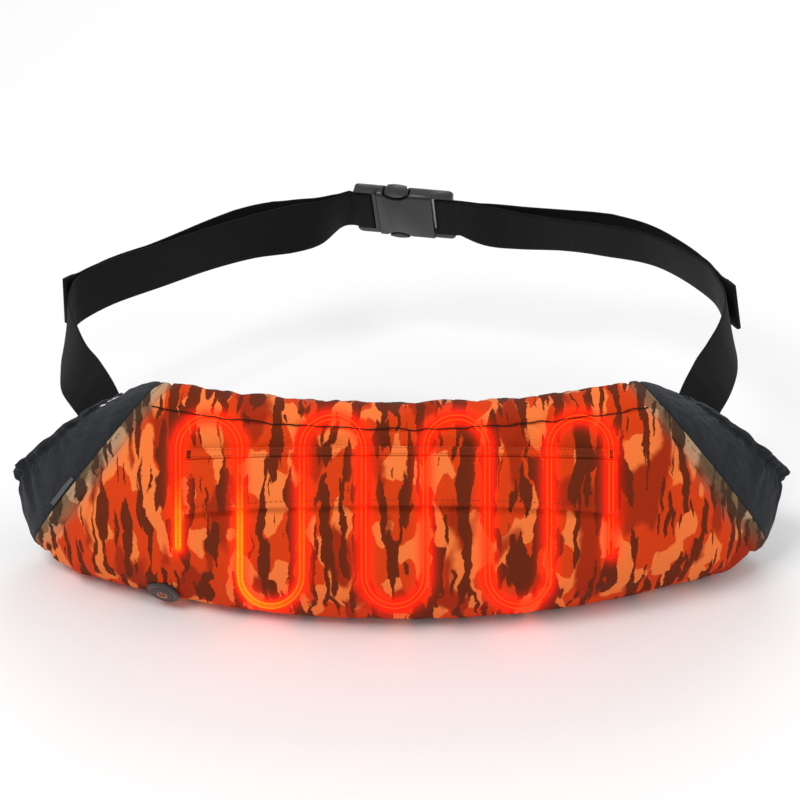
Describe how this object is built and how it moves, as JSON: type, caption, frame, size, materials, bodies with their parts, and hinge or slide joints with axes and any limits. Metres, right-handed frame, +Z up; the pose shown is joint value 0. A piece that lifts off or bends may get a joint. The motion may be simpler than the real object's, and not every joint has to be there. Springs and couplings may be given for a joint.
{
  "type": "heated hand muff",
  "caption": "Padded tubular hand muff with plush cuffs, flapped zip pocket, heating cable and power button, worn on a webbing waist belt with a side-release buckle.",
  "frame": {"origin": "middle of the wearer's waist, at the height of the belt's middle behind the wearer", "axes": "+X to the viewer's right along the muff, +Y from the muff back to the buckle, +Z up"},
  "size_m": [0.511, 0.4114, 0.1528],
  "materials": {
    "camo_cloth": "woven camouflage, heater glow showing",
    "wadding": "loose fibre",
    "fleece": "short pile",
    "plush": "deep soft pile",
    "elastic": "woven elastic",
    "label_tape": "woven tape",
    "pocketing": "plain weave",
    "zip_tape": "woven tape",
    "zip_metal": "black paint",
    "carrier_cloth": "thin fleece",
    "heating_cable": "glowing sleeve",
    "lead_sleeve": "smooth sleeve",
    "grommet_rubber": "matt",
    "battery_plastic": "fine texture",
    "cell_foil": "foil",
    "circuit_board": "solder mask",
    "plug_rubber": "matt",
    "button_plastic": "matt",
    "bezel_plastic": "satin",
    "cap_plastic": "soft touch",
    "light_guide": "lit",
    "switch_metal": "bright",
    "webbing": "woven nylon",
    "buckle_plastic": "satin"
  },
  "bodies": {
    "muff": {"front_panel": "camo_cloth", "top_panel": "camo_cloth", "back_panel": "camo_cloth", "left_end_band": "camo_cloth", "right_end_band": "camo_cloth", "front_insulation": "wadding", "back_insulation": "wadding", "hand_lining_front_left_end": "fleece", "hand_lining_front_left": "fleece", "hand_lining_front_right": "fleece", "hand_lining_front_right_end": "fleece", "hand_lining_front_upper": "fleece", "hand_lining_front_lower_left": "fleece", "hand_lining_front_lower_right": "fleece", "hand_lining_top": "fleece", "hand_lining_back": "fleece", "hand_lining_back_upper": "fleece", "hand_lining_back_lower": "fleece", "hand_lining_bottom": "fleece", "left_cuff_shell": "plush", "left_cuff_lining": "fleece", "left_cuff_elastic": "elastic", "right_cuff_shell": "plush", "right_cuff_lining": "fleece", "right_cuff_elastic": "elastic", "cuff_label": "label_tape", "flap_welt": "camo_cloth", "pocket_bag": "pocketing", "zip_tape_upper": "zip_tape", "zip_tape_lower": "zip_tape", "zip_teeth": "zip_metal", "zip_stops": "zip_metal", "heater_carrier": "carrier_cloth", "heater_wire": "heating_cable", "left_heater_tail": "lead_sleeve", "right_heater_tail": "lead_sleeve", "wiring_lead": "lead_sleeve", "lead_grommet": "grommet_rubber", "battery_case_front": "battery_plastic", "battery_case_back": "battery_plastic", "battery_cells": "cell_foil", "battery_board": "circuit_board", "battery_plug": "plug_rubber", "button_base": "button_plastic", "button_bezel": "bezel_plastic", "button_light_ring": "light_guide", "button_board": "circuit_board", "button_switch": "switch_metal", "left_strap": "webbing", "right_strap": "webbing", "left_strap_anchor": "webbing", "right_strap_anchor": "webbing", "buckle_socket": "buckle_plastic"},
    "flap": {"pocket_flap": "camo_cloth"},
    "slider": {"zip_slider": "zip_metal"},
    "pull": {"zip_pull": "zip_metal"},
    "button": {"button_cap": "cap_plastic"},
    "clip": {"buckle_clip": "buckle_plastic"},
    "upper_prong_arm": {"upper_prong": "buckle_plastic"},
    "lower_prong_arm": {"lower_prong": "buckle_plastic"}
  },
  "joints": [
    {"name": "flap_lift", "type": "hinge", "parent": "muff", "child": "flap", "pos_m": [0, -0.22355, 0.01449], "axis": [-1, 0, 0], "range_deg": [0, 75], "deforming": ["pocket_flap"]},
    {"name": "zip_travel", "type": "hinge", "parent": "muff", "child": "slider", "pos_m": [0, 0.225, -0.0044], "axis": [0, 0, 1], "range_deg": [-27, 0]},
    {"name": "pull_swing", "type": "hinge", "parent": "slider", "child": "pull", "pos_m": [0.10414, -0.21485, -0.00416], "axis": [0.232, -0.9518, 0.2005], "range_deg": [-60, 60]},
    {"name": "button_press", "type": "slide", "parent": "muff", "child": "button", "axis": [0.3019, 0.825, 0.4777], "range_m": [0, 0.0007], "stiffness_N_per_m": 2500},
    {"name": "buckle_release", "type": "slide", "parent": "muff", "child": "clip", "axis": [-0.9781, 0.2079, 0], "range_m": [0, 0.032], "deforming": ["left_strap", "upper_prong", "lower_prong"]},
    {"name": "upper_prong_flex", "type": "hinge", "parent": "clip", "child": "upper_prong_arm", "pos_m": [-0.01459, 0.15616, 0.01815], "axis": [0.1884, 0.8865, 0.4226], "range_deg": [0, 7], "stiffness_Nm_per_rad": 0.8},
    {"name": "lower_prong_flex", "type": "hinge", "parent": "clip", "child": "lower_prong_arm", "pos_m": [-0.01223, 0.16724, -0.00615], "axis": [0.1884, 0.8865, 0.4226], "range_deg": [-7, 0], "stiffness_Nm_per_rad": 0.8}
  ],
  "couplings": [
    {"joint": "lower_prong_flex", "follows": "upper_prong_flex", "ratio": -1}
  ]
}
